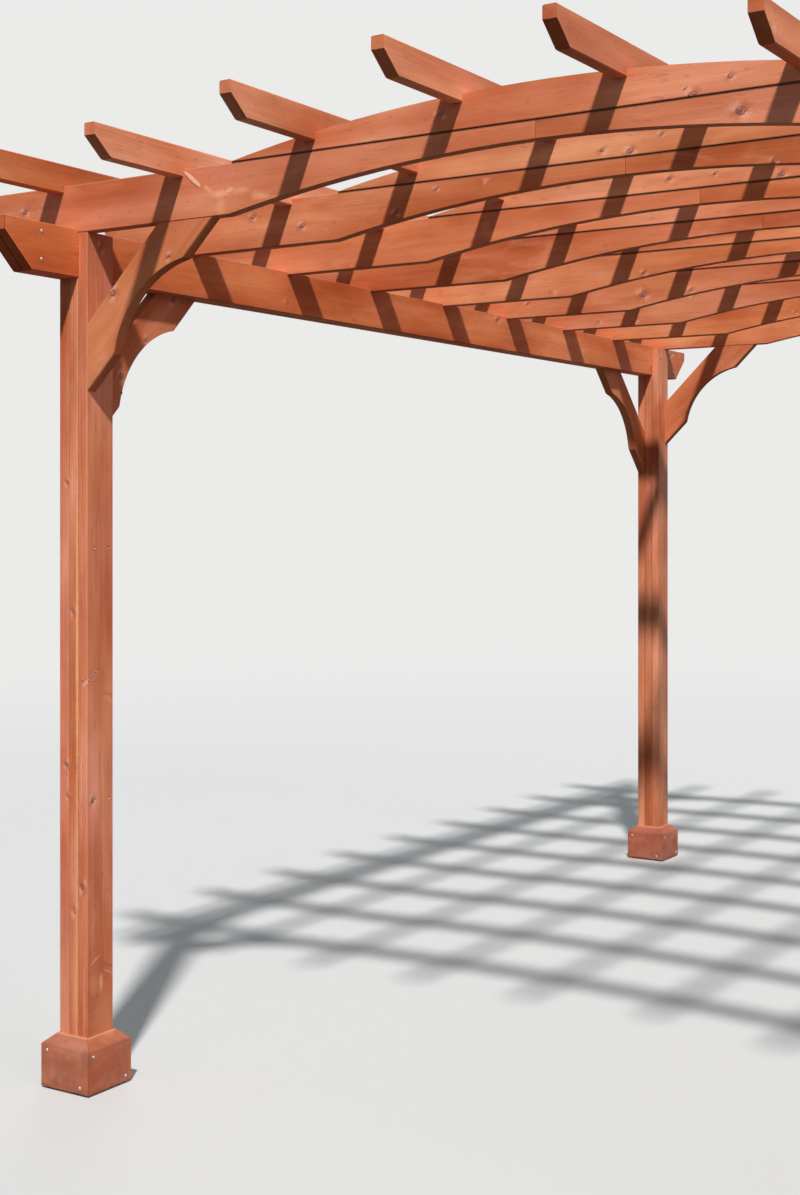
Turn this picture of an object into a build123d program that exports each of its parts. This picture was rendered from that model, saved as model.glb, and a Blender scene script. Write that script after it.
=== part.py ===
"""Arched garden pergola of stained softwood boards.

Four laminated posts carry two doubled headers. Nine arched rafters sit across the headers,
and eight slats run over the rafters. Curved braces stiffen each corner.

X runs across, along the rafters. Y runs along the headers, with the front at -Y. Z is up.
The origin lies on the ground in the middle of the plan. All sizes are in millimetres.
"""
from build123d import *
import math
import os

# Lumber
board = 38.0
beam_depth = 146.0
slat_depth = 89.0
ply_width = 114.0
edge_ease = 3.0

# Plan and heights
clear_span = 3036.0
frame_length = 4275.0
headroom = 2445.0

# Rafters
rafter_count = 9
rafter_seat = 11.0
arch_chord = 1984.0
arch_rise = 99.0
feather = 4.0
butt_gap = 1.5

# Slats
slat_count = 8
slat_pitch = 466.5
slat_notch = 22.0

# Tails that run past the posts, each with a short plumb nose and a sloping cut under it
header_tail = 300.0
rafter_tail = 300.0
slat_tail = 370.0
beam_nose = 40.0
beam_cut = 110.0
slat_nose = 34.0
slat_cut = 68.0
short_slat = 6
short_slat_trim = 60.0

# Braces
rafter_brace_reach = 478.0
header_brace_reach = 490.0
scallop_chord = 375.0
scallop_depth = 60.0

# Collars round the feet of the posts
collar_board = 38.0
collar_face = 128.0
collar_bevel = 30.0
collar_lip = 3.0
collar_lift = 5.0
mitre_gap = 0.5

# Fits
seam = 0.3
notch_play = 0.5

# Sizes that follow from the ones above
header_thick = 2 * board + seam
post_thick = 3 * board + 2 * seam
post_inside = clear_span / 2
post_outside = post_inside + post_thick
header_inside = post_outside - header_thick
frame_end = frame_length / 2
header_top = headroom + beam_depth
rafter_under = header_top - rafter_seat
rafter_top = rafter_under + beam_depth
rafter_end = post_outside + rafter_tail
rafter_pitch = (frame_length - board) / (rafter_count - 1)
arch_radius = (arch_chord ** 2 / 4 + arch_rise ** 2) / (2 * arch_rise)

left_right = {"left": -1, "right": 1}
front_back = {"front": -1, "back": 1}
rafter_places = [(n - (rafter_count - 1) / 2) * rafter_pitch for n in range(rafter_count)]
slat_places = [(n - (slat_count - 1) / 2) * slat_pitch for n in range(slat_count)]


def eased_board(width, depth, length):
    """An upright board with its four long edges eased."""
    blank = Box(width, depth, length, align=(Align.CENTER, Align.CENTER, Align.MIN))
    return chamfer(blank.edges().filter_by(Axis.Z), edge_ease)


def eased_beam(half_length, bottom):
    """A beam on edge along X with its four long edges eased, not yet cut to shape."""
    upright = eased_board(beam_depth, board, 2 * half_length)
    return Pos(-half_length, 0, bottom + beam_depth / 2) * Rot(Y=90) * upright


def tailed_outline(start, end, bottom, depth, nose, cut):
    """Side view of a board whose two ends have a plumb nose and a sloping cut below it."""
    top = bottom + depth
    return make_face(Polyline(
        (start, top),
        (end, top),
        (end, top - nose),
        (end - cut, bottom),
        (start + cut, bottom),
        (start, top - nose),
        close=True,
    ))


def along_x(outline, thickness):
    """Stand an outline drawn in X and Z upright, centred on the XZ plane."""
    return extrude(Plane.XZ * outline, thickness / 2, both=True)


def along_y(outline, thickness, x):
    """Stand an outline drawn in Y and Z upright, centred on x."""
    return extrude(Plane.YZ.offset(x) * outline, thickness / 2, both=True)


def arch_disc(crest):
    """The disc under an arch whose crest is at the given height."""
    return Pos(0, crest - arch_radius) * Circle(arch_radius)


def arch_height(x):
    """Height of the crown above the straight top of its rafter at x."""
    if abs(x) > arch_chord / 2:
        return 0.0
    return math.sqrt(arch_radius ** 2 - x ** 2) - (arch_radius - arch_rise)


def crown_outline():
    """Piece cut from under the arch and laid on top, with thin blunt ends."""
    half = math.sqrt(arch_radius ** 2 - (arch_radius - arch_rise + feather) ** 2)
    band = Pos(0, rafter_top) * Rectangle(2 * half, arch_rise, align=(Align.CENTER, Align.MIN))
    return band & arch_disc(rafter_top + arch_rise)


def rafter_outline():
    """Two boards that meet in the middle of the arch, notched over both headers."""
    outline = tailed_outline(-rafter_end, rafter_end, rafter_under, beam_depth, beam_nose, beam_cut)
    outline -= arch_disc(rafter_under + arch_rise)
    outline -= Pos(0, rafter_under) * Rectangle(butt_gap, 3 * beam_depth)
    notch = Rectangle(header_thick + 2 * notch_play, 2 * rafter_seat)
    for side in left_right.values():
        middle = side * (header_inside + header_thick / 2)
        outline -= Pos(middle, rafter_under) * notch
    return outline


def rafter():
    """Both boards of a rafter, with the long edges left as milled and the cut edges sharp."""
    return eased_beam(rafter_end, rafter_under) & along_x(rafter_outline(), 2 * board)


def crown():
    """The crown of a rafter, with eased edges only along its straight lower side."""
    return eased_beam(rafter_end, rafter_top) & along_x(crown_outline(), 2 * board)


def roof_line():
    """Everything below the upper edge of a rafter, as the slats are notched over it."""
    below = Pos(0, rafter_top) * Rectangle(2 * rafter_end, beam_depth, align=(Align.CENTER, Align.MAX))
    return below + crown_outline()


def slat(x, trim, notches):
    """One slat along Y, notched over every rafter, its front tail shorter by the trim."""
    bottom = rafter_top + arch_height(x) - slat_notch
    end = frame_end + slat_tail
    outline = tailed_outline(trim - end, end, bottom, slat_depth, slat_nose, slat_cut)
    blank = along_y(outline, board, x)
    blank = chamfer(blank.edges().filter_by(Axis.Y), edge_ease)
    return blank - notches


def header_board(x):
    """One of the two boards of a header."""
    end = frame_end + header_tail
    outline = tailed_outline(-end, end, headroom, beam_depth, beam_nose, beam_cut)
    blank = along_y(outline, board, x)
    return chamfer(blank.edges().filter_by(Axis.Y), edge_ease)


def brace(reach):
    """Board mitred into a corner at the origin, its inner edge scalloped, centred on the XZ plane."""
    outer_leg = reach - beam_depth * math.sqrt(2)
    outline = make_face(Polyline(
        (outer_leg, 0),
        (reach, 0),
        (0, -reach),
        (0, -outer_leg),
        close=True,
    ))
    radius = (scallop_chord ** 2 / 4 + scallop_depth ** 2) / (2 * scallop_depth)
    out = (radius - scallop_depth) / math.sqrt(2)
    outline -= Pos(reach / 2 + out, -reach / 2 - out) * Circle(radius)
    blank = Pos((outer_leg + reach) / math.sqrt(8), 0, -reach) * eased_board(beam_depth, board, 2 * reach)
    return Rot(Y=45) * blank & along_x(outline, 2 * board)


def braces(side, end):
    """A brace under the end rafter and one under the header, both flush with the outside of the frame."""
    under_rafter = Pos(-post_inside, -frame_end + board / 2, rafter_under)
    under_header = Pos(-post_outside + board / 2, -frame_end + ply_width, headroom) * Rot(Z=90)
    pair = [under_rafter * brace(rafter_brace_reach), under_header * brace(header_brace_reach)]
    if side > 0:
        pair = [mirror(piece, Plane.YZ) for piece in pair]
    if end > 0:
        pair = [mirror(piece, Plane.XZ) for piece in pair]
    return Compound(pair)


def collar(x, y):
    """Four mitred boards round the foot of a post, with a bevelled top."""
    wide = post_thick + 2 * collar_board
    deep = ply_width + 2 * collar_board
    base = Box(wide, deep, collar_face, align=(Align.CENTER, Align.CENTER, Align.MIN))
    slope = math.degrees(math.atan2(collar_board - collar_lip, collar_bevel))
    bevel = extrude(Pos(0, 0, collar_face) * Rectangle(wide, deep), collar_bevel, taper=slope)
    tall = collar_face + collar_bevel
    ring = base + bevel - Box(post_thick, ply_width, 3 * tall)
    for side in (-1, 1):
        for end in (-1, 1):
            corner = Pos(side * post_thick / 2, end * ply_width / 2)
            slit = Box(3 * collar_board, mitre_gap, 3 * tall, align=(Align.MIN, Align.CENTER, Align.CENTER))
            ring -= corner * Rot(Z=math.degrees(math.atan2(end, side))) * slit
    return Pos(x, y, collar_lift) * ring


def build():
    """All nodes of the pergola by name."""
    nodes = {}
    post_middle = (post_inside + post_outside) / 2
    for side_name, side in left_right.items():
        outer = side * (post_outside - board / 2)
        middle = side * (header_inside + board / 2)
        inner = side * (post_inside + board / 2)
        for end_name, end in front_back.items():
            corner = f"{end_name}_{side_name}"
            y = end * (frame_end - ply_width / 2)
            short_ply = eased_board(board, ply_width, headroom)
            short_plies = [Pos(x, y) * short_ply for x in (outer, middle)]
            nodes[f"post_{corner}_short_plies"] = Compound(short_plies)
            nodes[f"post_{corner}_tall_ply"] = Pos(inner, y) * eased_board(board, ply_width, rafter_under)
            nodes[f"collar_{corner}"] = collar(side * post_middle, y)
            nodes[f"braces_{corner}"] = braces(side, end)
        nodes[f"header_{side_name}"] = Compound([header_board(outer), header_board(middle)])
    lower = rafter()
    upper = crown()
    for number, y in enumerate(rafter_places, 1):
        nodes[f"rafter_{number}"] = Pos(0, y) * lower
        nodes[f"crown_{number}"] = Pos(0, y) * upper
    cutter = along_x(roof_line(), board + 2 * notch_play)
    notches = [Pos(0, y) * cutter for y in rafter_places]
    for number, x in enumerate(slat_places, 1):
        trim = short_slat_trim if number == short_slat else 0
        nodes[f"slat_{number}"] = slat(x, trim, notches)
    return nodes


os.makedirs("parts", exist_ok=True)
for name, shape in build().items():
    export_step(shape, f"parts/{name}.step")
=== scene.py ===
import bpy
import bmesh
import math
from mathutils import Matrix, Vector


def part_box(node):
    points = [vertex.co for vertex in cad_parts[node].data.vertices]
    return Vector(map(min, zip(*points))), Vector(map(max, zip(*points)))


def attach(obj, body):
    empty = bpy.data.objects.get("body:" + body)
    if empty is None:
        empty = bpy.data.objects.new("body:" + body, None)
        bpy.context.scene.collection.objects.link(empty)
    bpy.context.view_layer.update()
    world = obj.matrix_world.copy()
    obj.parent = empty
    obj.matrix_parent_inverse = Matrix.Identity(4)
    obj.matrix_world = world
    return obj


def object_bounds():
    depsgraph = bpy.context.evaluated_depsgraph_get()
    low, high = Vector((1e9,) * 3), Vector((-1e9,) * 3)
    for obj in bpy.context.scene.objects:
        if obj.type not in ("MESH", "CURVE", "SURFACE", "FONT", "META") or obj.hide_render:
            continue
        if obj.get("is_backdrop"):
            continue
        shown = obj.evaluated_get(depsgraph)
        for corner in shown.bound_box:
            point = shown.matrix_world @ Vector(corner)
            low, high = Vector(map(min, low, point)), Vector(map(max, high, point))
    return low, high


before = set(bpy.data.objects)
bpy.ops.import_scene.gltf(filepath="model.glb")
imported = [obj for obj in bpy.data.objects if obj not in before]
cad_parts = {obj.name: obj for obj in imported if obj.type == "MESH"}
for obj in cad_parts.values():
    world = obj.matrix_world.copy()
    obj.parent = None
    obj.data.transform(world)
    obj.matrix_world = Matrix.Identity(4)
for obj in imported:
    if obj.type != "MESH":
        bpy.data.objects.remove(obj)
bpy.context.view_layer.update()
bpy.ops.object.select_all(action="DESELECT")

# Posts
# Each post is three planed softwood boards screwed face to face, with a groove where their eased edges meet.
# The outer two stop under the header, and the inner one runs on up to the end rafter. The stain is red-brown.

post_stain = (0.585, 0.176, 0.086)
board_thick = 0.038
ply_width = 0.114
post_front = -2.1375
post_inner = -1.518
up, ahead, right = Vector((0, 0, 1)), Vector((0, 1, 0)), Vector((1, 0, 0))
corners = [(end, side) for end in ("front", "back") for side in ("left", "right")]


def feed(tree, socket, source):
    """Link a source to a socket, or set the socket to a plain value."""
    if isinstance(source, bpy.types.NodeSocket):
        tree.links.new(source, socket)
    else:
        socket.default_value = source


def add(tree, kind, *sources, **settings):
    """Add a node, set it up and feed its inputs in order, with None for an input left as it is."""
    node = tree.nodes.new(kind)
    for key, value in settings.items():
        setattr(node, key, value)
    for socket, source in zip(node.inputs, sources):
        if source is not None:
            feed(tree, socket, source)
    return node.outputs[0]


def sums(tree, operation, *sources):
    return add(tree, "ShaderNodeMath", *sources, operation=operation)


def times(tree, first, second):
    return sums(tree, "MULTIPLY", first, second)


def times_plus(tree, value, factor, base):
    """A value times a factor, on top of a base."""
    return sums(tree, "MULTIPLY_ADD", value, factor, base)


def sway(tree, value, strength, base=0.0, middle=0.5):
    """How far a value lies from its middle, times a strength, on top of a base."""
    return times_plus(tree, sums(tree, "SUBTRACT", value, middle), strength, base)


def vectors(tree, operation, *sources):
    return add(tree, "ShaderNodeVectorMath", *sources, operation=operation)


def scaled(tree, vector, factor):
    """A vector or a colour times a number."""
    return vectors(tree, "SCALE", vector, None, None, factor)


def parts(tree, vector):
    """The three numbers of a vector."""
    node = tree.nodes.new("ShaderNodeSeparateXYZ")
    tree.links.new(vector, node.inputs[0])
    return node.outputs


def size_of(tree, vector, stretch=(1, 1, 1)):
    """Length of a vector, once stretched."""
    node = tree.nodes.new("ShaderNodeVectorMath")
    node.operation = "LENGTH"
    tree.links.new(vectors(tree, "MULTIPLY", vector, stretch), node.inputs[0])
    return node.outputs["Value"]


def ramp(tree, value, low, high, start=0.0, end=1.0):
    """Smooth rise from start to end as the value goes from low to high."""
    return add(tree, "ShaderNodeMapRange", value, low, high, start, end, interpolation_type="SMOOTHSTEP")


def fall(tree, value, low, high, start=1.0):
    """Smooth fall from start to nothing."""
    return ramp(tree, value, low, high, start, 0.0)


def cloud(tree, place, stretch, detail, swirl=0.0):
    """Noise around one half, with so many waves a metre across, through and along the board."""
    node = tree.nodes.new("ShaderNodeTexNoise")
    node.inputs["Distortion"].default_value = swirl
    tree.links.new(vectors(tree, "MULTIPLY", place, stretch), node.inputs["Vector"])
    node.inputs["Scale"].default_value = 1
    node.inputs["Detail"].default_value = detail
    return node.outputs[0]


def mixed(tree, kind, factor, first, second):
    """Mix two vectors or two colours."""
    node = tree.nodes.new("ShaderNodeMix")
    node.data_type = kind
    start = 4 if kind == "VECTOR" else 6
    for number, source in ((0, factor), (start, first), (start + 1, second)):
        feed(tree, node.inputs[number], source)
    return node.outputs[1 if kind == "VECTOR" else 2]


def tint(tree, factor, first, second):
    return mixed(tree, "RGBA", factor, first, second)


def chance(tree, seed, factor):
    """A number from 0 to 1 that differs from board to board."""
    return sums(tree, "FRACT", times(tree, seed, factor))


knot_oval = (1, 1, 0.74)


def nearer(tree, first, second):
    """Whichever of two places, each measured from its knot in the knot's own radius, is nearer to it."""
    choice = sums(tree, "LESS_THAN", size_of(tree, second, knot_oval), size_of(tree, first, knot_oval))
    return mixed(tree, "VECTOR", choice, first, second)


wood = bpy.data.node_groups.new("stained_softwood", "ShaderNodeTree")
for label, kind in (("Place", "Vector"), ("Facing", "Vector"), ("Half", "Vector"), ("Seed", "Float"),
                    ("Stain", "Color"), ("Figure", "Float"), ("Knots", "Float"), ("Marked", "Vector"),
                    ("Joint", "Float")):
    wood.interface.new_socket(label, in_out="INPUT", socket_type="NodeSocket" + kind)
for label, kind in (("Colour", "Color"), ("Roughness", "Float"), ("Height", "Float")):
    wood.interface.new_socket(label, in_out="OUTPUT", socket_type="NodeSocket" + kind)
given = wood.nodes.new("NodeGroupInput").outputs
result = wood.nodes.new("NodeGroupOutput").inputs

seed, figure, stain = given["Seed"], given["Figure"], given["Stain"]
facing, half = parts(wood, given["Facing"]), parts(wood, given["Half"])
across, through = parts(wood, given["Place"])[:2]
moved = vectors(wood, "ADD", given["Place"], scaled(wood, (0.731, 0.517, 7.13), seed))

# Knots are small ovals strewn through the board. The grain bends round them, and where it catches the light
# the sheen is painted pale on two sides, and shade is painted darker on the other two.
knot_cell = (0.085, 0.036, 0.30)
cell = vectors(wood, "ADD", vectors(wood, "DIVIDE", given["Place"], knot_cell),
               scaled(wood, (1.73, 2.31, 3.17), seed))
cells = wood.nodes.new("ShaderNodeTexVoronoi")
cells.inputs["Scale"].default_value = 1
wood.links.new(cell, cells.inputs["Vector"])
from_knot = vectors(wood, "MULTIPLY", vectors(wood, "SUBTRACT", cell, cells.outputs["Position"]), knot_cell)
lot = wood.nodes.new("ShaderNodeSeparateColor")
wood.links.new(cells.outputs["Color"], lot.inputs[0])
knot_radius = times_plus(wood, lot.outputs[1], 0.0055, 0.0035)
no_knot = sums(wood, "GREATER_THAN", lot.outputs[0], given["Knots"])
out_of_reach = 99999.0
in_radii = times_plus(wood, no_knot, out_of_reach, sums(wood, "DIVIDE", 1.0, knot_radius))
from_knot = scaled(wood, from_knot, in_radii)
from_knot = nearer(wood, from_knot, given["Marked"])
ragged = times_plus(wood, cloud(wood, moved, (110, 110, 70), 2), 0.7, 0.65)
plain_far = size_of(wood, from_knot, knot_oval)
far = times(wood, plain_far, ragged)
core = fall(wood, far, 0.75, 1.0)
rim = times(wood, ramp(wood, far, 0.7, 1.0), fall(wood, far, 1.0, 1.35))
aside = parts(wood, from_knot)
slant = times(wood, sums(wood, "ADD", aside[0], aside[1]), aside[2])
petal = sums(wood, "DIVIDE", slant, times_plus(wood, plain_far, plain_far, 0.01))
stray = times_plus(wood, cloud(wood, moved, (60, 60, 34), 2), 2.6, -1.3)
petal = times_plus(wood, petal, -1.5, stray)
round_knot = times(wood, ramp(wood, far, 0.85, 1.25), fall(wood, far, 1.2, 3.6))
painted_knot_sheen = times(wood, round_knot, ramp(wood, petal, 0.0, 0.7))
painted_knot_shade = times(wood, round_knot, fall(wood, petal, -0.8, -0.1))
swing = fall(wood, far, 0.6, 4.5)

# Growth rings lie round a pith outside the board, so they run as long flames on its faces.
ring_width = 0.0052
pith_across = times_plus(wood, chance(wood, seed, 0.377), 0.12, -0.06)
pith_through = times_plus(wood, chance(wood, seed, 0.713), 0.06, 0.024)
from_pith = vectors(wood, "SUBTRACT", add(wood, "ShaderNodeCombineXYZ", across, through, 0),
                    add(wood, "ShaderNodeCombineXYZ", pith_across, pith_through, 0))
bend = sway(wood, cloud(wood, moved, (4, 4, 0.8), 2), 0.045)
rings = sums(wood, "ADD", sums(wood, "ADD", size_of(wood, from_pith), bend), times(wood, swing, 0.012))
ring = sums(wood, "FRACT", sums(wood, "DIVIDE", rings, ring_width))
late_wood = times(wood, ramp(wood, ring, 0.3, 0.85), fall(wood, ring, 0.87, 1.0))

# The stain and the wood vary in long clouds of several sizes, from blotches down to fibres and pores.
blotch = cloud(wood, moved, (7, 7, 1.8), 4)
streak = cloud(wood, moved, (44, 44, 1.3), 4)
ember = cloud(wood, moved, (20, 20, 1.8), 3)
vein = cloud(wood, moved, (140, 140, 2.6), 2)
fibre = cloud(wood, moved, (420, 420, 7), 3)
pores = cloud(wood, moved, (1500, 1500, 60), 2)

# A cut across the grain drinks more stain, and eased edges are worn paler and more orange, partly as a
# painted highlight. Where boards lie face to face or on each other, shade is painted dark where they meet.
sides = [sums(wood, "SUBTRACT", half[n], sums(wood, "ABSOLUTE", way))
         for n, way in enumerate((across, through))]
edge_far = sway(wood, streak, 0.006, sums(wood, "MAXIMUM", *sides))
eased_edge = fall(wood, edge_far, 0.0012, 0.0052)
lower_joint_shade = times(wood, sums(wood, "GREATER_THAN", given["Joint"], 0.5),
                    fall(wood, sums(wood, "ADD", across, half[0]), 0.003, 0.0065))
plies = sums(wood, "MAXIMUM", times(wood, given["Joint"], -1.0), 0.0)
groove = times(wood, fall(wood, sides[1], 0.0006, 0.0024), fall(wood, sides[0], 0.002, 0.004))
end_grain = ramp(wood, sums(wood, "ABSOLUTE", facing[2]), 0.4, 0.62)
end_seam_shade = times(wood, end_grain, fall(wood, sides[1], 0.0015, 0.0032))
ply_joint_shade = sums(wood, "MAXIMUM", times(wood, plies, groove), times(wood, plies, end_seam_shade))
joint = sums(wood, "MAXIMUM", lower_joint_shade, ply_joint_shade)

# Streaks, veins, fibres and rings shade the stain, and each board has its own tone and warmth.
shade = sway(wood, streak, 0.42)
shade = sway(wood, vein, 0.26, shade)
shade = sway(wood, fibre, 0.3, shade)
shade = sway(wood, late_wood, -0.1, shade, middle=0.35)
shade = times_plus(wood, shade, figure, 1.0)
shade = times(wood, shade, times_plus(wood, chance(wood, seed, 0.618), 0.14, 0.93))
warm = times_plus(wood, chance(wood, seed, 0.351), 0.5, times_plus(wood, ember, 1.6, -0.55))
colour = tint(wood, warm, vectors(wood, "MULTIPLY", stain, (0.96, 0.92, 1.0)),
              vectors(wood, "MULTIPLY", stain, (1.04, 1.12, 0.93)))
colour = scaled(wood, colour, shade)

# Where the stain is thin the wood is paler and more orange. Pale patches of painted sheen and small dark
# nicks lie over it.
thin = sway(wood, blotch, 1.3, 1.0)
thin_twice = times(wood, thin, thin)
colour = vectors(wood, "MULTIPLY", colour, add(
    wood, "ShaderNodeCombineXYZ", thin, thin_twice, times(wood, thin_twice, thin)))
elsewhere = vectors(wood, "ADD", moved, (3.1, 1.7, 5.3))
patch = ramp(wood, cloud(wood, elsewhere, (3.5, 3.5, 1.3), 1), 0.42, 0.62)
painted_sheen_patch = times(wood, patch, ramp(wood, cloud(wood, elsewhere, (15, 15, 5), 3, 0.8), 0.5, 0.76))
painted_sheen_patch = times(wood, painted_sheen_patch, ramp(wood, figure, 0.3, 0.6, 0.0, 0.24))
colour = tint(wood, painted_sheen_patch, colour, (0.84, 0.40, 0.22, 1))
nicks = ramp(wood, cloud(wood, elsewhere, (75, 75, 24), 2), 0.63, 0.72, 0.0, 0.3)
colour = tint(wood, nicks, colour, (0.36, 0.09, 0.055, 1))

# Then come the knots, the worn edges with their painted highlight, the cut ends, painted shade on the eased
# edges of all but the posts, and painted shade where boards meet.
colour = tint(wood, times(wood, painted_knot_sheen, 0.42), colour, (0.86, 0.45, 0.31, 1))
colour = tint(wood, times(wood, painted_knot_shade, 0.5), colour, (0.35, 0.10, 0.052, 1))
fleck = ramp(wood, cloud(wood, moved, (240, 240, 150), 1), 0.45, 0.6)
knot_tone = tint(wood, fleck, (0.17, 0.055, 0.045, 1), (0.44, 0.19, 0.155, 1))
colour = tint(wood, times(wood, core, 0.85), colour, knot_tone)
colour = tint(wood, times(wood, rim, 0.55), colour, (0.16, 0.042, 0.027, 1))
pale_edge = times(wood, eased_edge, ramp(wood, figure, 0.8, 1.0, 0.14, 0.34))
colour = tint(wood, pale_edge, colour, (0.85, 0.38, 0.22, 1))
colour = tint(wood, end_grain, colour, vectors(wood, "MULTIPLY", colour, (0.74, 0.62, 0.56)))
edge_and_joint_shade = times(wood, eased_edge, ramp(wood, figure, 0.8, 1.0, 0.26, 0.0))
edge_and_joint_shade = sums(wood, "MAXIMUM", times(wood, joint, 0.72), edge_and_joint_shade)
colour = scaled(wood, colour, sums(wood, "SUBTRACT", 1.0, edge_and_joint_shade))
wood.links.new(colour, result["Colour"])

# Knots are smoother than the wood round them, and cut ends and narrow faces are duller. Fibres, rings and
# knots stand up a little.
narrow_face = ramp(wood, sums(wood, "ABSOLUTE", facing[0]), 0.5, 0.8)
rough = sway(wood, fibre, 0.3, 0.5)
rough = times_plus(wood, core, -0.22, times_plus(wood, painted_knot_sheen, -0.12, rough))
rough = times_plus(wood, end_grain, 0.2, times_plus(wood, eased_edge, -0.05, rough))
rough = times_plus(wood, narrow_face, 0.36, rough)
wood.links.new(rough, result["Roughness"])
height = times_plus(wood, fibre, 0.5, times(wood, pores, 0.3))
height = times_plus(wood, late_wood, 0.22, height)
height = times_plus(wood, rim, -0.9, times_plus(wood, core, 0.7, height))
wood.links.new(height, result["Height"])


def turn_of(wide, long):
    """The turn that brings the ways across, through and along a board in line with x, y and z."""
    return Matrix((wide, long.cross(wide), long)).transposed().to_euler()


def seen_from(tree, spot, place, turn):
    """The spot on the surface as measured from a place along turned ways."""
    return add(tree, "ShaderNodeMapping", spot, place, turn, vector_type="TEXTURE")


def new_finish(name):
    """A new material, its nodes and its shader."""
    material = bpy.data.materials.new(name)
    material.use_nodes = True
    return material, material.node_tree, material.node_tree.nodes["Principled BSDF"]


def surface_of(tree):
    """The socket for a finish's colour, the colour that it has so far, and the spot on the surface."""
    socket = tree.nodes["Principled BSDF"].inputs["Base Color"]
    colour = socket.links[0].from_socket if socket.links else None
    return socket, colour, tree.nodes.new("ShaderNodeTexCoord").outputs["Object"]


def stained(node_name, tone, strength, boards, knots=0.45, marks=(), joint=0.0, pale=1.0):
    """Stain a node in a tone, with its figure in a strength, and return its finish's nodes.

    Each board has its middle, the ways across and along it, its half sizes and its seed. From the second
    board on, the planes that it lies above are given too, each as a way and a height. The marks are knots
    with a place and a radius. The joint is 1 where the lower edge lies on another board, and shade is painted
    along that edge. For plies it is negative, by how dark the shade painted in their grooves is. Where pale
    is above 1, the stain is thinner.
    """
    material, tree, shader = new_finish(node_name + "_stained")
    shader.inputs["Specular IOR Level"].default_value = 0.22
    spot = tree.nodes.new("ShaderNodeTexCoord")
    fields = None
    for middle, wide, long, halves, number, *planes in boards:
        turn = turn_of(wide, long)
        own = [seen_from(tree, spot.outputs["Object"], middle, turn),
               seen_from(tree, spot.outputs["Normal"], (0, 0, 0), turn), halves, number]
        if fields is None:
            fields = own
            continue
        inside = 1.0
        for way, level in planes:
            away = tree.nodes.new("ShaderNodeVectorMath")
            away.operation = "DOT_PRODUCT"
            away.inputs[1].default_value = way
            tree.links.new(spot.outputs["Object"], away.inputs[0])
            inside = times(tree, sums(tree, "GREATER_THAN", away.outputs["Value"], level), inside)
        for n in range(3):
            fields[n] = mixed(tree, "VECTOR", inside, fields[n], own[n])
        gap = sums(tree, "SUBTRACT", number, fields[3])
        fields[3] = times_plus(tree, inside, gap, fields[3])
    softwood = tree.nodes.new("ShaderNodeGroup")
    softwood.node_tree = wood
    for label, source in zip(("Place", "Facing", "Half", "Seed"), fields):
        feed(tree, softwood.inputs[label], source)
    softwood.inputs["Stain"].default_value = (tone[0] * pale, tone[1] * pale ** 2, tone[2] * pale ** 3, 1)
    no_mark = (99, 99, 99)
    for label, value in (("Figure", strength), ("Knots", knots), ("Joint", joint), ("Marked", no_mark)):
        softwood.inputs[label].default_value = value
    nearest = None
    turn = turn_of(*boards[0][1:3])
    for place, radius in marks:
        own = scaled(tree, seen_from(tree, spot.outputs["Object"], place, turn), 1 / radius)
        nearest = own if nearest is None else nearer(tree, nearest, own)
    if nearest is not None:
        tree.links.new(nearest, softwood.inputs["Marked"])
    tree.links.new(softwood.outputs["Colour"], shader.inputs["Base Color"])
    tree.links.new(softwood.outputs["Roughness"], shader.inputs["Roughness"])
    bump = tree.nodes.new("ShaderNodeBump")
    bump.inputs["Distance"].default_value = 0.0006
    bump.inputs["Strength"].default_value = 0.7
    tree.links.new(softwood.outputs["Height"], bump.inputs["Height"])
    tree.links.new(bump.outputs[0], shader.inputs["Normal"])
    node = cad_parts[node_name]
    node.data.materials.clear()
    node.data.materials.append(material)
    return tree


def middle_of(node_name):
    """The middle and the half size of a node's box."""
    low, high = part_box(node_name)
    return (Vector(low) + Vector(high)) / 2, (Vector(high) - Vector(low)) / 2


def on_face(axis, level, strokes):
    """Place strokes on a face that looks along x, for axis 0, or along y, for axis 1.

    Each has its place along the face, its height, its turn in degrees, its half width, its half height and
    its strength.
    """
    stroke_depth = 0.03
    placed = []
    for along, z, angle, half_wide, half_high, strength in strokes:
        place, turn, halves = [along, along, z], [0, 0, 0], [half_wide, half_wide, half_high]
        place[axis] = level
        turn[axis] = math.radians(angle)
        halves[axis] = stroke_depth
        placed.append((place, turn, halves, strength))
    return placed


def brushed(tree, colour, tone, strokes):
    """Tint soft ragged ovals, each with its place, its turn, its half sizes and its strength."""
    spot = tree.nodes.new("ShaderNodeTexCoord").outputs["Object"]
    torn = times_plus(tree, cloud(tree, spot, (34, 34, 60), 2, 0.5), 1.2, 0.4)
    cover = 0.0
    for place, turn, halves, strength in strokes:
        own = seen_from(tree, spot, place, turn)
        far_out = times(tree, size_of(tree, own, [1 / size for size in halves]), torn)
        cover = sums(tree, "MAXIMUM", cover, fall(tree, far_out, 0.15, 1.25, strength))
    return tint(tree, cover, colour, tone)


def streaked(tree, colour, axis, line, spread, tone, strength):
    """Tint an uneven upright line at a place along x, for axis 0, or along y, for axis 1."""
    spot = tree.nodes.new("ShaderNodeTexCoord").outputs["Object"]
    off_line = sums(tree, "ABSOLUTE", sums(tree, "SUBTRACT", parts(tree, spot)[axis], line))
    off_line = sums(tree, "SUBTRACT", off_line, 0.005)
    wander = times_plus(tree, cloud(tree, spot, (30, 30, 5), 3), 0.01, off_line)
    broken = ramp(tree, cloud(tree, spot, (9, 9, 2.2), 2), 0.42, 0.6, 0.2)
    band = times(tree, fall(tree, wander, 0.0, spread), broken)
    return tint(tree, times(tree, band, strength), colour, tone)


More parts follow.
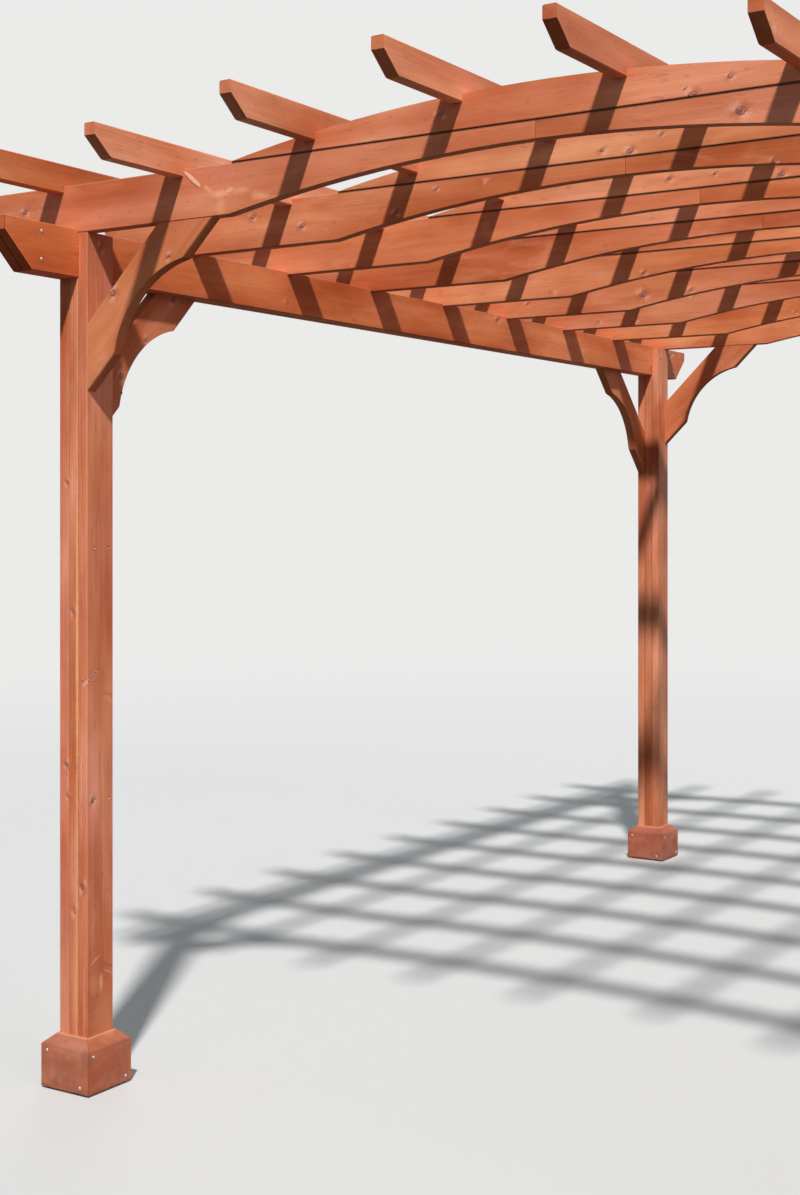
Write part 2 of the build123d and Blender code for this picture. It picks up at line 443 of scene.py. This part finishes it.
post_half = Vector((ply_width / 2, board_thick / 2, 1.3))
short_marks = [((x, post_front, z), radius) for x, z, radius in (
    (-1.575, 1.441, 0.006), (-1.602, 0.977, 0.0055), (-1.597, 0.882, 0.005), (-1.567, 0.538, 0.0075),
    (-1.6, 1.83, 0.005))]
tall_marks = [((post_inner, -2.116, 0.872), 0.0065), ((-1.538, post_front, 0.614), 0.0075),
              ((post_inner, -2.078, 2.54), 0.007)]
for count, (end, side) in enumerate(corners):
    corner = f"{end}_{side}"
    near = corner == "front_left"
    knots = 0.0 if near else 0.4
    # The shade painted in the grooves between the plies is lighter on the near post.
    groove_shade_strength = -0.8 if near else -1.25
    start = 42.9 if near else 11.3 + 5.17 * count
    middle, size = middle_of(f"post_{corner}_short_plies")
    offset = Vector((size.x - post_half.y, 0, 0))
    short = stained(f"post_{corner}_short_plies", post_stain, 1.0, [
        (middle - offset, ahead, up, post_half, start),
        (middle + offset, ahead, up, post_half, start + 1.61, (right, middle.x)),
    ], knots, short_marks if near else (), groove_shade_strength, 1.02 if near else 0.97)
    middle, size = middle_of(f"post_{corner}_tall_ply")
    tall = stained(f"post_{corner}_tall_ply", post_stain, 1.0, [
        (middle, ahead, up, post_half, start + 3.4),
    ], knots, tall_marks if near else (), groove_shade_strength, 0.97 if near else 1.1)
    if near:
        near_short, near_tall = short, tall

# An orange painted highlight runs down the near post's middle board along its eased edge by the groove, with
# orange strokes along it.
tree = near_short
socket, colour, spot = surface_of(tree)
colour = streaked(tree, colour, 0, -1.5635, 0.0065, (0.82, 0.34, 0.13, 1), 0.5)
colour = brushed(tree, colour, (0.90, 0.42, 0.18, 1), on_face(1, post_front, [
    (-1.569, 0.300, 0, 0.012, 0.24, 0.25),
    (-1.5605, 1.300, 0, 0.0055, 0.55, 0.6),
]))
tree.links.new(colour, socket)

# Its tall board has a red streak and a long knot with rings round it, cut lengthwise.
tree = near_tall
socket, colour, spot = surface_of(tree)
colour = streaked(tree, colour, 1, -2.078, 0.0055, (0.62, 0.10, 0.055, 1), 0.6)
own = seen_from(tree, spot, (post_inner, -2.116, 1.243), (math.radians(38), 0, 0))
torn = times_plus(tree, cloud(tree, spot, (80, 80, 60), 2), 0.3, 0.85)
oval = times(tree, size_of(tree, own, (30, 30, 78)), torn)
fold = sums(tree, "ABSOLUTE", sway(tree, sums(tree, "FRACT", times(tree, oval, 2.5)), 1.0))
spike = tint(tree, ramp(tree, fold, 0.1, 0.34), (0.27, 0.058, 0.037, 1), (0.76, 0.31, 0.19, 1))
colour = tint(tree, fall(tree, oval, 0.9, 1.1, 0.72), colour, spike)
# A small painted highlight glints on the front face beside the knot's lower end.
painted_glint_far = size_of(tree, vectors(tree, "SUBTRACT", spot, (-1.531, post_front, 1.222)), (140, 140, 120))
colour = tint(tree, fall(tree, painted_glint_far, 0.2, 1.3, 0.5), colour, (0.92, 0.52, 0.4, 1))

# Pale and red scuffs lie near its foot and halfway up.
colour = brushed(tree, colour, (0.88, 0.37, 0.19, 1), on_face(0, post_inner, [
    (-2.078, 0.314, 0, 0.011, 0.036, 0.75),
    (-2.106, 0.315, 0, 0.032, 0.045, 0.28),
    (-2.070, 0.215, 0, 0.055, 0.120, 0.28),
    (-2.106, 0.388, -61, 0.005, 0.034, 0.5),
    (-2.046, 0.343, 65, 0.005, 0.028, 0.4),
    (-2.045, 1.170, 60, 0.006, 0.030, 0.4),
]) + on_face(1, post_front, [
    (-1.531, 0.260, 0, 0.006, 0.17, 0.35),
]))
colour = brushed(tree, colour, (0.40, 0.09, 0.06, 1), on_face(0, post_inner, [
    (-2.053, 0.366, 66, 0.005, 0.045, 0.75),
    (-2.095, 0.276, 0, 0.010, 0.010, 0.5),
    (-2.040, 1.186, 75, 0.004, 0.030, 0.5),
    (-2.100, 0.700, 0, 0.018, 0.16, 0.3),
]) + on_face(1, post_front, [
    (-1.549, 0.240, 0, 0.011, 0.22, 0.35),
]))
tree.links.new(colour, socket)

# Collars
# Four mitred boards wrap the foot of each post and shed water off a bevelled top.
# Each board is held by two domed screws, one high and one low.

collar_stain = (0.46, 0.133, 0.074)
# The mitres lie on the two diagonals, so each board is told apart by the side of both that it is on.
lean, rise = Vector((1, 1, 0)), Vector((1, -1, 0))
for count, (end, side) in enumerate(corners):
    corner = f"{end}_{side}"
    middle, size = middle_of(f"collar_{corner}")
    board_half = Vector((size.z, board_thick / 2, size.x))
    start = 71.9 + 6.31 * count
    out_x = Vector((size.x - board_thick / 2, 0, 0))
    out_y = Vector((0, size.y - board_thick / 2, 0))
    on_lean, on_rise = middle.dot(lean), middle.dot(rise)
    tree = stained(f"collar_{corner}", collar_stain, 0.45, [
        (middle - out_x, up, ahead, board_half, start),
        (middle - out_y, up, right, board_half, start + 1.7, (rise, on_rise), (-lean, -on_lean)),
        (middle + out_y, up, right, board_half, start + 2.9, (-rise, -on_rise), (lean, on_lean)),
        (middle + out_x, up, ahead, board_half, start + 4.3, (rise, on_rise), (lean, on_lean)),
    ], 0.15)
    # Rain has left soft dark patches and runs, and the lowest two centimetres or so are darker.
    socket, colour, spot = surface_of(tree)
    level = parts(tree, spot)[2]
    runs = ramp(tree, cloud(tree, spot, (38, 38, 9), 3, 0.4), 0.4, 0.66)
    patches = ramp(tree, cloud(tree, spot, (15, 15, 13), 3, 0.6), 0.42, 0.62)
    darkening = times_plus(tree, runs, 0.14, times(tree, patches, 0.22))
    ragged_level = times_plus(tree, patches, 0.012, level)
    darkening = sums(tree, "MAXIMUM", darkening, fall(tree, ragged_level, 0.006, 0.022, 0.62))
    colour = tint(tree, darkening, colour, (0.18, 0.05, 0.034, 1))
    scuffs = ramp(tree, cloud(tree, spot, (60, 60, 60), 4, 0.5), 0.6, 0.74)
    colour = tint(tree, times(tree, scuffs, 0.25), colour, (0.62, 0.27, 0.18, 1))
    # The bevel looks up and is painted darker as shade, and its inner rim is worn orange.
    looks = parts(tree, tree.nodes.new("ShaderNodeTexCoord").outputs["Normal"])
    colour = scaled(tree, colour, ramp(tree, looks[2], 0.2, 0.6, 1.0, 0.72))
    if corner == "front_left":
        # The near collar is painted lighter on its inner side and darker on its front, as light and shade.
        colour = scaled(tree, colour, ramp(tree, looks[0], 0.1, 0.9, 0.88, 1.22))
    rim = times_plus(tree, scuffs, -0.002, level)
    colour = tint(tree, ramp(tree, rim, 0.1575, 0.1615, 0.0, 0.3), colour, (0.88, 0.38, 0.17, 1))
    tree.links.new(colour, socket)

zinc_finish, tree, shader = new_finish("zinc_screw")
shader.inputs["Metallic"].default_value = 1
socket, _, spot = surface_of(tree)
dull = cloud(tree, spot, (900, 900, 900), 3)
tree.links.new(tint(tree, ramp(tree, dull, 0.4, 0.65), (0.62, 0.6, 0.56, 1), (0.36, 0.33, 0.3, 1)), socket)
tree.links.new(times_plus(tree, dull, 0.3, 0.3), shader.inputs["Roughness"])


def screw_head(name, radius, steps, lobe_depth, finish):
    """Make one head, in millimetres at first, from a ring that is raised and drawn in step by step.

    The one step that doesn't rise or sink is the edge of the recess, which is pushed in and out to a star.
    """
    bpy.ops.mesh.primitive_circle_add(vertices=24, radius=radius, fill_type="NGON")
    head = bpy.context.object
    head.name = name
    bpy.ops.object.mode_set(mode="EDIT")
    for lift, draw in steps:
        bpy.ops.mesh.extrude_region_move(TRANSFORM_OT_translate={"value": (0, 0, lift)})
        bpy.ops.transform.resize(value=(draw, draw, 1))
        if lift == 0:
            shape = bmesh.from_edit_mesh(head.data)
            for vertex in [v for v in shape.verts if v.select]:
                lobe = 1 + lobe_depth * math.cos(6 * math.atan2(vertex.co.y, vertex.co.x))
                vertex.co.x *= lobe
                vertex.co.y *= lobe
            bmesh.update_edit_mesh(head.data)
    bpy.ops.mesh.select_all(action="SELECT")
    bpy.ops.mesh.normals_make_consistent(inside=False)
    bpy.ops.object.mode_set(mode="OBJECT")
    head.data.transform(Matrix.Scale(0.001, 4))
    head.data.materials.append(finish)
    bpy.ops.object.shade_smooth_by_angle(angle=math.radians(35))
    bpy.ops.object.select_all(action="DESELECT")
    return head


def fasten(name, pattern, spots):
    """Copy one screw to each place, its head looking along the way given, and join the copies."""
    twist = 0.7
    heads = []
    for count, (place, way) in enumerate(spots):
        mesh = pattern.data.copy()
        turn = Vector(way).to_track_quat("Z", "Y").to_matrix().to_4x4()
        mesh.transform(Matrix.Translation(place) @ turn @ Matrix.Rotation(twist * count, 4, "Z"))
        head = bpy.data.objects.new(name, mesh)
        bpy.context.scene.collection.objects.link(head)
        heads.append(head)
    bpy.ops.object.select_all(action="DESELECT")
    for head in heads:
        head.select_set(True)
    bpy.context.view_layer.objects.active = heads[0]
    bpy.ops.object.join()
    piece = bpy.context.object
    piece.name = name
    piece.select_set(False)
    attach(piece, "root")
    return piece


domed = screw_head("domed_screw", 5.2, (
    (0.7, 1.0), (0.7, 0.93), (0.6, 0.86), (0.4, 0.78), (0.0, 0.82), (-1.6, 0.86)), 0.13, zinc_finish)
high_screw, low_screw = 0.116, 0.0225
high_inset, collar_bedded = 0.024, 0.0003
for end, side in corners:
    corner = f"{end}_{side}"
    middle, size = middle_of(f"collar_{corner}")
    spots = []
    for way in (right, -right, ahead, -ahead):
        reach_out, span = (size.x, size.y) if way.x else (size.y, size.x)
        sideways = up.cross(way)
        low_inset = 0.034 if way.y else 0.024
        for aside, level in ((-span + high_inset, high_screw), (span - low_inset, low_screw)):
            on_post = Vector((middle.x, middle.y, level))
            spots.append((on_post + way * (reach_out - collar_bedded) + sideways * aside, way))
    fasten(f"collar_screws_{corner}", domed, spots)

# Screws through the posts
# Pairs of countersunk screws hold the inner board of each post to the other two. Their sockets are painted
# near black as shade, and the lower lip of each, which looks up, is painted as bare metal catching the light.

socket_shade_finish, tree, shader = new_finish("shaded_socket_screw")
shader.inputs["Metallic"].default_value = 0.3
socket, _, spot = surface_of(tree)
dull = cloud(tree, spot, (800, 800, 800), 3)
# Faces that look up and out are painted as the lit lower lip, and all else as shade.
looks = parts(tree, tree.nodes.new("ShaderNodeTexCoord").outputs["Normal"])
outwards = ramp(tree, sums(tree, "ABSOLUTE", looks[0]), 0.5, 0.75)
painted_lit_lip = times(tree, ramp(tree, looks[2], 0.03, 0.16), outwards)
bare = tint(tree, dull, (0.66, 0.55, 0.38, 1), (0.9, 0.8, 0.6, 1))
tree.links.new(tint(tree, painted_lit_lip, (0.03, 0.012, 0.008, 1), bare), socket)
tree.links.new(times_plus(tree, dull, 0.3, 0.4), shader.inputs["Roughness"])

sunk = screw_head("sunk_screw", 5.0, (
    (0.9, 0.94), (0.2, 0.93), (-0.95, 0.45), (0.0, 0.75), (-0.1, 0.9)), 0.14, socket_shade_finish)
bedded = 0.0002
pair_insets, pair_heights = (0.031, 0.093), (0.872, 1.633)
for end, side in corners:
    low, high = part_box(f"post_{end}_{side}_tall_ply")
    outward = 1 if side == "left" else -1
    face = high[0] if side == "left" else low[0]
    spots = [(Vector((face - outward * bedded, low[1] + inset, z)), right * outward)
             for inset in pair_insets for z in pair_heights]
    fasten(f"post_screws_{end}_{side}", sunk, spots)

# Headers
# Two softwood boards laid face to face run along each side, on top of the outer post boards. Their tails are
# cut to a nose, and two screws hold the boards together at each tail.

header_stain = (0.61, 0.149, 0.055)
screw_from_end, tail_screws = 0.148, (2.4825, 2.565)
for count, side in enumerate(("left", "right")):
    middle, size = middle_of(f"header_{side}")
    offset = Vector((size.x - board_thick / 2, 0, 0))
    header_half = Vector((size.z, board_thick / 2, size.y))
    start = 131.7 + 9.3 * count
    # Shade is painted in the groove between the two boards and along their seam on the cut ends.
    stained(f"header_{side}", header_stain, 0.7, [
        (middle - offset, up, ahead, header_half, start),
        (middle + offset, up, ahead, header_half, start + 2.2, (right, middle.x)),
    ], joint=-1.0)
    outward = right if side == "left" else -right
    face = middle + outward * (size.x - bedded)
    spots = [(Vector((face.x, sign * (size.y - screw_from_end), z)), outward)
             for sign in (-1, 1) for z in tail_screws]
    fasten(f"header_screws_{side}", domed, spots)

# Rafters
# Each rafter is two softwood boards butted at mid-span. The arch is sawn out of their undersides, and they
# drop over the headers on shallow notches.

rafter_stain = (0.55, 0.156, 0.067)
near_rafter_stain = (0.54, 0.143, 0.07)
rafter_pale = {1: 1.04, 2: 1.03, 3: 1.02, 4: 0.86, 5: 1.12, 6: 0.92, 7: 1.08, 8: 1.01, 9: 1.12}
rafter_marks = {
    1: [(0.544, 2.678, 0.0095)],
    2: [(-1.303, 2.682, 0.006), (-1.109, 2.636, 0.007), (-0.761, 2.643, 0.006), (-0.617, 2.701, 0.0045),
        (0.429, 2.665, 0.005)],
    5: [(-0.669, 2.648, 0.006)],
    6: [(-0.914, 2.641, 0.011), (-0.704, 2.645, 0.006)],
    7: [(-1.193, 2.605, 0.006)],
}
seam_reach = 0.97
for number in range(1, 10):
    middle, size = middle_of(f"rafter_{number}")
    rafter_half = Vector((size.z, size.y, size.x))
    start = 211.3 + 7.77 * number
    face = middle.y - size.y
    top = middle.z + size.z
    tone = near_rafter_stain if number == 1 else rafter_stain
    knots = 0.1 if number < 3 else 0.25
    marks = [((x, face, z), radius) for x, z, radius in rafter_marks.get(number, [])]
    tree = stained(f"rafter_{number}", tone, 0.6, [
        (middle, up, right, rafter_half, start),
        (middle, up, right, rafter_half, start + 3.1, (right, middle.x)),
    ], knots, marks, pale=rafter_pale[number])
    # Shade is painted as a dark line along the seam under the crown.
    socket, colour, spot = surface_of(tree)
    place = parts(tree, spot)
    under_crown = sums(tree, "LESS_THAN", sums(tree, "ABSOLUTE", place[0]), seam_reach)
    seam_shade = times(tree, ramp(tree, place[2], top - 0.0045, top - 0.0025), under_crown)
    colour = scaled(tree, colour, times_plus(tree, seam_shade, -0.68, 1.0))
    tree.links.new(colour, socket)
    if number == 1:
        # Beside the second slat the figure swirls under pale painted sheen, and a splinter has split off and
        # shows pale wood.
        colour = brushed(tree, colour, (0.86, 0.40, 0.21, 1), on_face(1, face, [
            (-1.014, 2.642, 0, 0.038, 0.013, 0.75),
            (-0.980, 2.649, -15, 0.02, 0.007, 0.9),
            (-0.937, 2.645, 0, 0.036, 0.009, 0.45),
            (-1.057, 2.660, 35, 0.026, 0.008, 0.5),
            (-1.010, 2.605, 0, 0.022, 0.032, 0.35),
            (-0.868, 2.622, 8, 0.045, 0.014, 0.55),
        ]))
        own = seen_from(tree, spot, (-1.113, face, 2.695), (0, math.radians(39.7), 0))
        torn = times_plus(tree, cloud(tree, spot, (130, 130, 130), 2), 0.7, 0.65)
        scar = fall(tree, times(tree, size_of(tree, own, (21, 60, 138)), torn), 0.7, 1.0)
        below = vectors(tree, "ADD", own, (0, 0, 0.0035))
        lip = fall(tree, times(tree, size_of(tree, below, (21, 60, 130)), torn), 0.75, 1.05)
        colour = tint(tree, times(tree, lip, 0.55), colour, (0.19, 0.05, 0.03, 1))
        colour = tint(tree, times(tree, scar, 0.85), colour, (0.84, 0.48, 0.32, 1))
        tree.links.new(colour, socket)

# Crowns
# The softwood piece sawn from under the arch is laid on top of its rafter, so that the roof line rises with
# it. Its ends run out thin and blunt.

crown_stain = (0.565, 0.165, 0.070)
near_crown_stain = (0.56, 0.161, 0.079)
crown_pale = {1: 1.1, 2: 1.15, 3: 1.14, 4: 1.06, 5: 1.05, 6: 1.18, 7: 1.0, 8: 0.96, 9: 1.0}
crown_marks = {
    1: [(0.4225, 2.731, 0.008), (0.5176, 2.763, 0.005), (0.403, 2.748, 0.0025), (-0.28, 2.774, 0.006)],
    2: [(0.0135, 2.741, 0.007), (0.108, 2.777, 0.004)],
    3: [(-0.101, 2.765, 0.006), (0.257, 2.741, 0.007), (0.047, 2.764, 0.004)],
}
half_depth = 0.073
for number in range(1, 10):
    middle, size = middle_of(f"crown_{number}")
    crown_half = Vector((half_depth, size.y, size.x))
    foot = Vector((middle.x, middle.y, middle.z - size.z + half_depth))
    face = middle.y - size.y
    tone = near_crown_stain if number == 1 else crown_stain
    knots = 0.1 if number < 4 else 0.25
    marks = [((x, face, z), radius) for x, z, radius in crown_marks.get(number, [])]
    # Shade is painted along each crown's lower edge, where it lies on its rafter.
    stained(f"crown_{number}", tone, 0.6, [
        (foot, up, right, crown_half, 301.9 + 5.3 * number),
    ], knots, marks, 1.0, crown_pale[number])

# Slats
# Softwood boards on edge run the whole length of the roof. They are notched down over every rafter and crown,
# and their tails are cut to a nose.

slat_stain = (0.625, 0.183, 0.077)
slat_pale = {1: 0.85, 2: 1.18, 3: 1.19, 4: 1.06, 5: 1.04, 6: 0.93, 7: 1.08, 8: 1.0}
for number in range(1, 9):
    middle, size = middle_of(f"slat_{number}")
    slat_half = Vector((size.z, size.x, size.y))
    stained(f"slat_{number}", slat_stain, 0.75, [
        (middle, up, ahead, slat_half, 401.1 + 8.9 * number),
    ], 0.3, pale=slat_pale[number])

# Braces
# At every post one softwood brace rises to the end rafter and one to the header, mitred at 45 degrees and
# scalloped on the open side. Two deeply sunk screws hold each of them.

brace_stain = (0.55, 0.157, 0.067)
post_outer = -1.6326
under_rafter, under_header = 2.58, 2.445
rafter_reach, header_reach = 0.478, 0.49
brace_half = Vector((half_depth, board_thick / 2, 0.35))
low_inset, high_inset = 0.046, 0.059
inner_face_out, inner_face_screws = 0.122, (2.1148, 2.2727)
near_marks = [((-1.416, post_front, 2.388), 0.0085), ((-1.202, post_front, 2.480), 0.005),
              ((-1.5946, -1.9015, 2.1645), 0.009), ((-1.5946, -1.786, 2.291), 0.006)]

# The deeply sunk screws are painted near black, as the shade in their holes.
deep_shade_finish, tree, shader = new_finish("deep_shaded_screw")
shader.inputs["Roughness"].default_value = 0.6
socket, _, spot = surface_of(tree)
dull = cloud(tree, spot, (800, 800, 800), 3)
tree.links.new(tint(tree, dull, (0.015, 0.008, 0.006, 1), (0.09, 0.045, 0.035, 1)), socket)

for count, (end, side) in enumerate(corners):
    corner = f"{end}_{side}"
    inward_x = 1 if side == "left" else -1
    inward_y = 1 if end == "front" else -1
    inner_x, outer_x = inward_x * post_inner, inward_x * (post_outer + board_thick / 2)
    rafter_y, post_y = inward_y * (post_front + board_thick / 2), inward_y * (post_front + ply_width)
    slope_x = Vector((inward_x, 0, 1)).normalized()
    slope_y = Vector((0, inward_y, 1)).normalized()
    down_x = Vector((inward_x, 0, -1)).normalized()
    down_y = Vector((0, inward_y, -1)).normalized()
    first = Vector((inner_x, rafter_y, under_rafter)) + down_x * (rafter_reach / math.sqrt(2) - half_depth)
    second = Vector((outer_x, post_y, under_header)) + down_y * (header_reach / math.sqrt(2) - half_depth)
    start = 503.7 + 6.6 * count
    stained(f"braces_{corner}", brace_stain, 0.65, [
        (first, down_x, slope_x, brace_half, start),
        (second, down_y, slope_y, brace_half, start + 3.9, (ahead * inward_y, inward_y * post_y - 0.02)),
    ], 0.2, near_marks if corner == "front_left" else (), pale=0.96)
    spots = []
    for aside in (low_inset, rafter_reach - high_inset):
        place = Vector((inner_x + inward_x * aside, rafter_y, under_rafter - rafter_reach + aside))
        spots.append((place - down_x * bedded, down_x))
    inner_face = outer_x + inward_x * (board_thick / 2 - bedded)
    for level in inner_face_screws:
        place = Vector((inner_face, post_y + inward_y * inner_face_out, level))
        spots.append((place, right * inward_x))
    piece = fasten(f"brace_screws_{corner}", sunk, spots)
    piece.data.materials[0] = deep_shade_finish

bpy.data.objects.remove(domed)
bpy.data.objects.remove(sunk)

# Floor, light and camera
# A plain pale floor, a key lamp from the upper right, two weak soft ones and an even sky. The camera stands
# where the photograph was taken, a little below head height at the front right corner.


def seen_plainly(tree):
    """1 for the camera and for mirrored rays, which see the plain backdrop."""
    path = tree.nodes.new("ShaderNodeLightPath").outputs
    return sums(tree, "MAXIMUM", path["Is Camera Ray"], path["Is Glossy Ray"])


backdrop_tone = (0.83, 0.83, 0.822, 1)
bpy.ops.mesh.primitive_plane_add(size=80, location=(0, 0, -0.001))
floor = bpy.context.object
floor.name = "floor"
floor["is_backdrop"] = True
floor_finish, tree, shader = new_finish("pale_floor")
shader.inputs["Roughness"].default_value = 0.9
seen = seen_plainly(tree)
socket, _, spot = surface_of(tree)
tree.links.new(tint(tree, seen, (0.045, 0.043, 0.041, 1), (0.51, 0.50, 0.487, 1)), socket)
far_off = ramp(tree, size_of(tree, spot), 6.0, 16.0)
glow = add(tree, "ShaderNodeEmission", backdrop_tone)
fade = add(tree, "ShaderNodeMixShader", times(tree, far_off, seen), shader.outputs[0], glow)
tree.links.new(fade, tree.nodes["Material Output"].inputs["Surface"])
floor.data.materials.append(floor_finish)

lamps = (("key_lamp", 4.6, 3, (0.40, -0.68, 1)), ("right_fill", 0.5, 30, (1, -0.35, 0.45)),
         ("back_fill", 0.65, 25, (-0.7, 1, 0.5)))
for name, energy, spread, way in lamps:
    lamp = bpy.data.objects.new(name, bpy.data.lights.new(name, "SUN"))
    bpy.context.scene.collection.objects.link(lamp)
    lamp.data.energy = energy
    lamp.data.angle = math.radians(spread)
    lamp.rotation_euler = Vector(way).to_track_quat("Z", "Y").to_euler()
    lamp.visible_glossy = name == "key_lamp"

world = bpy.data.worlds.new("sky")
bpy.context.scene.world = world
world.use_nodes = True
tree = world.node_tree
sky = tree.nodes["Background"]
sky.inputs["Strength"].default_value = 0.26
sky.inputs["Color"].default_value = (0.66, 0.86, 1, 1)
backdrop = add(tree, "ShaderNodeBackground", backdrop_tone)
shown = add(tree, "ShaderNodeMixShader", seen_plainly(tree), sky.outputs[0], backdrop)
tree.links.new(shown, tree.nodes["World Output"].inputs["Surface"])

camera = bpy.data.objects.new("camera", bpy.data.cameras.new("camera"))
bpy.context.scene.collection.objects.link(camera)
camera.location = (2.036, -5.954, 1.720)
camera.rotation_euler = (math.radians(90), 0, math.radians(32.61))
camera.data.sensor_width = 36
camera.data.lens = 51.554
camera.data.shift_y = -0.066
bpy.context.scene.camera = camera
bpy.context.scene.view_settings.view_transform = "Standard"

low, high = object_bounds()
